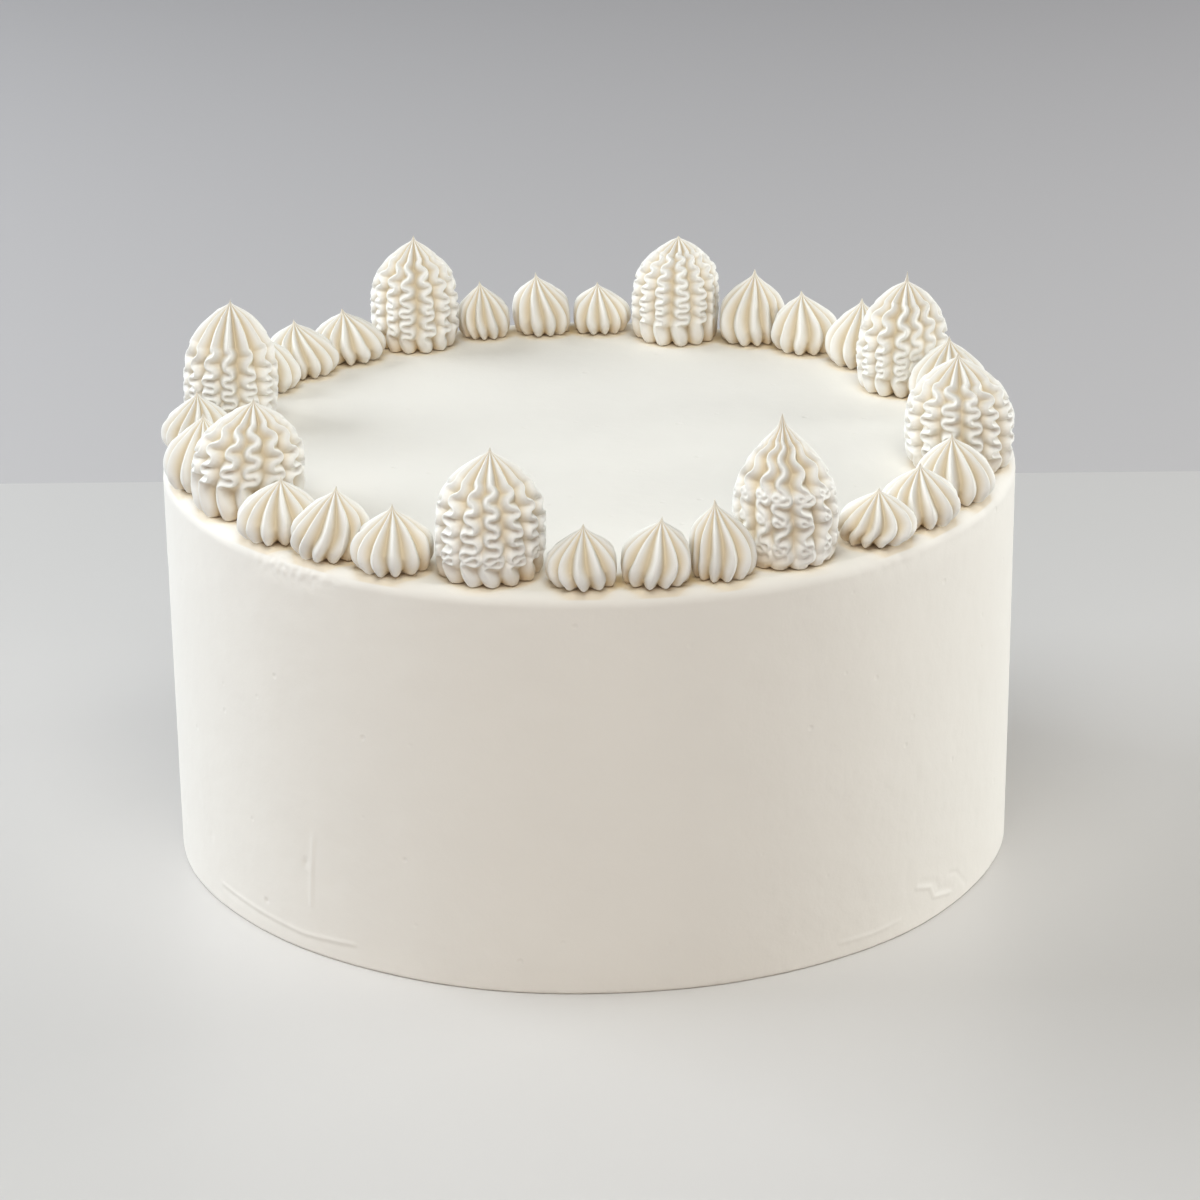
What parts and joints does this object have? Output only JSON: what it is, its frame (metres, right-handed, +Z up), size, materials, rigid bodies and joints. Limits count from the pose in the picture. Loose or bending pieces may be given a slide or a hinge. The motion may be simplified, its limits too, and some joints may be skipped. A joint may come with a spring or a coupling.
{
  "type": "layer cake",
  "caption": "Round uncut layer cake iced smooth in white buttercream, with a ring of tall ruffled and small star-shaped piped mounds round its top. It rests on its flat foot.",
  "frame": {"origin": "middle of the cake's flat foot, level with the surface that it rests on", "axes": "+Z up through the middle of the cake, -Y towards the front of the view in the picture, +X to its right"},
  "size_m": [0.2321, 0.2314, 0.1481],
  "materials": {
    "smooth_buttercream": "matt buttercream, spread smooth, creamy white",
    "piped_buttercream": "soft satin buttercream, piped, creamy white"
  },
  "bodies": {
    "root": {"cake": "smooth_buttercream", "tall_mound_1": "piped_buttercream", "tall_mound_2": "piped_buttercream", "tall_mound_3": "piped_buttercream", "tall_mound_4": "piped_buttercream", "tall_mound_5": "piped_buttercream", "tall_mound_6": "piped_buttercream", "tall_mound_7": "piped_buttercream", "tall_mound_8": "piped_buttercream", "small_mound_01": "piped_buttercream", "small_mound_02": "piped_buttercream", "small_mound_03": "piped_buttercream", "small_mound_04": "piped_buttercream", "small_mound_05": "piped_buttercream", "small_mound_06": "piped_buttercream", "small_mound_07": "piped_buttercream", "small_mound_08": "piped_buttercream", "small_mound_09": "piped_buttercream", "small_mound_10": "piped_buttercream", "small_mound_11": "piped_buttercream", "small_mound_12": "piped_buttercream", "small_mound_13": "piped_buttercream", "small_mound_14": "piped_buttercream", "small_mound_15": "piped_buttercream", "small_mound_16": "piped_buttercream", "small_mound_17": "piped_buttercream", "small_mound_18": "piped_buttercream", "small_mound_19": "piped_buttercream", "small_mound_20": "piped_buttercream", "small_mound_21": "piped_buttercream", "small_mound_22": "piped_buttercream"}
  },
  "joints": []
}
